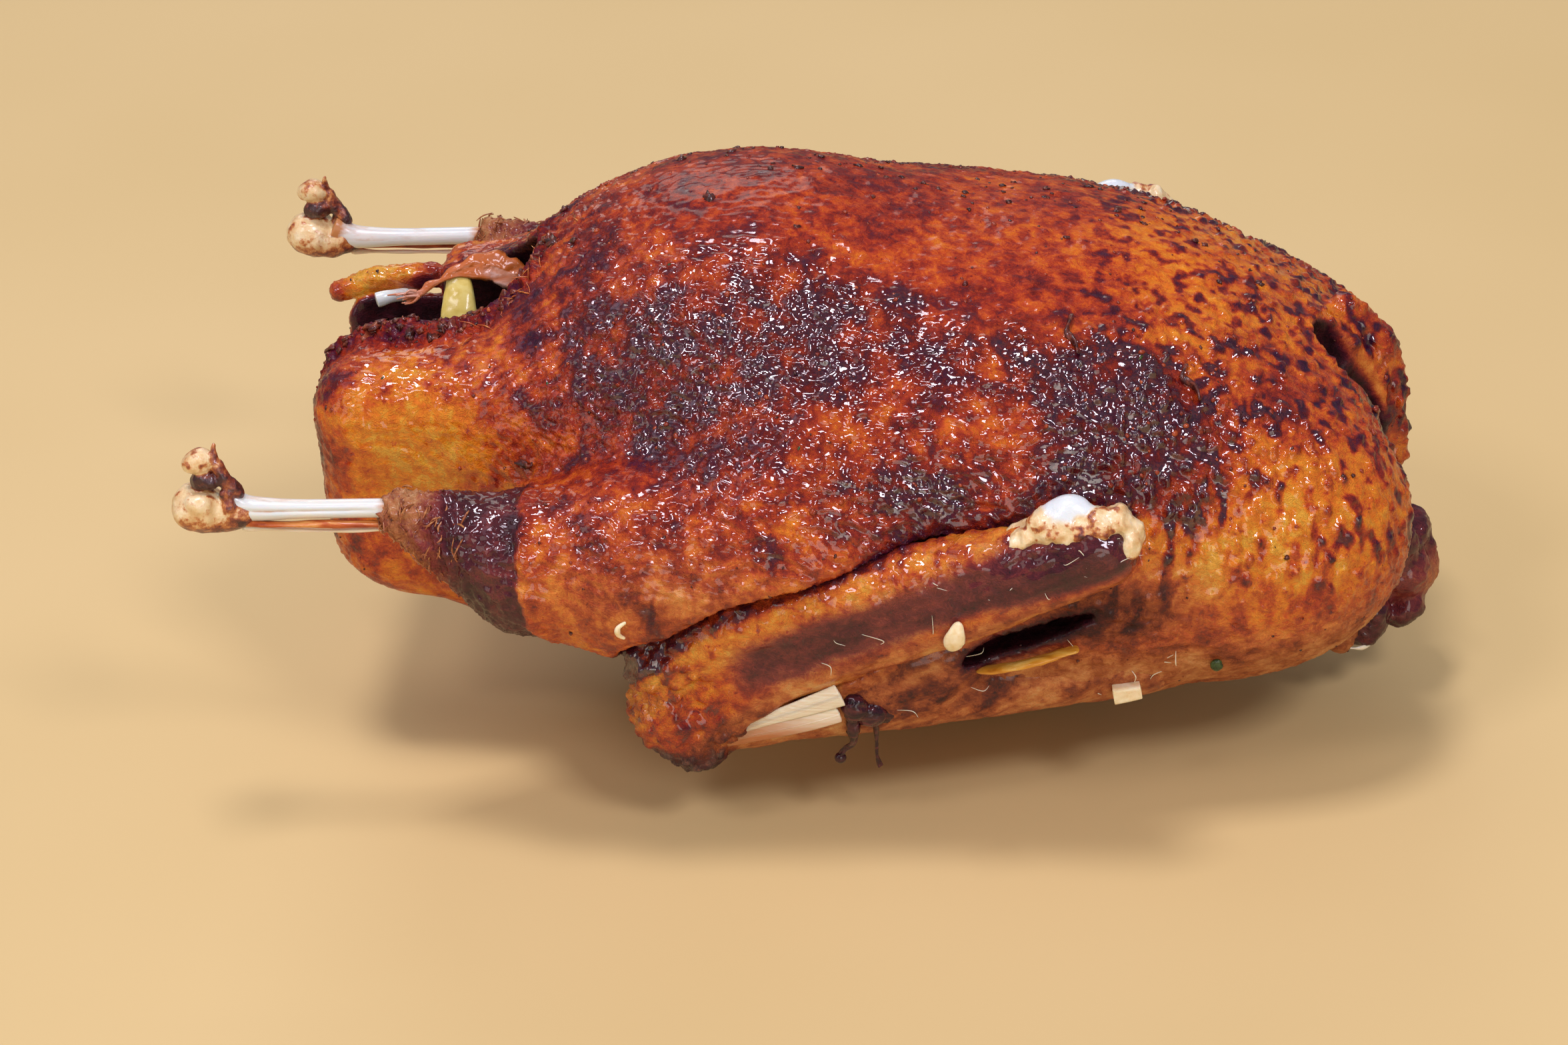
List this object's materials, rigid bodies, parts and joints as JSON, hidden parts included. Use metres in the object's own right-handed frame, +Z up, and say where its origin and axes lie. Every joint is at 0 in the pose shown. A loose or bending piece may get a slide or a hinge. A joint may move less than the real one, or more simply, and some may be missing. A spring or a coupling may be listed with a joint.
{
  "type": "roast duck",
  "caption": "Whole roast duck lying breast up, with bare leg bones, folded wings, an open body cavity and a neck stump.",
  "frame": {"origin": "middle of the flat spot under the back, where the duck rests", "axes": "+X from tail to neck, +Y from the near side to the far side, +Z up"},
  "size_m": [0.2493, 0.1478, 0.1163],
  "materials": {
    "roast_skin": "glossy roasted skin, mahogany to amber with dark blisters",
    "bone": "smooth pale bone, slightly bluish",
    "gristle": "tan gristle with cream and red-brown patches",
    "tendon": "dry orange-brown tendon",
    "dark_meat": "dark purple-brown glossy meat",
    "pale_wedge": "moist pale yellow-green wedge"
  },
  "bodies": {
    "root": {"carcass": "roast_skin", "forearm_near": "roast_skin", "forearm_far": "roast_skin", "upper_arm_near": "roast_skin", "upper_arm_far": "roast_skin", "wrist_joint_near": "gristle", "wrist_joint_far": "gristle", "leg_bone_near": "bone", "leg_bone_far": "bone", "leg_tendon_near": "tendon", "leg_tendon_far": "tendon", "leg_knuckle_near": "gristle", "leg_knuckle_far": "gristle", "neck_stump": "dark_meat", "stuffing_wedge": "pale_wedge", "vent_strip": "roast_skin", "hip_bone": "bone"}
  },
  "joints": []
}
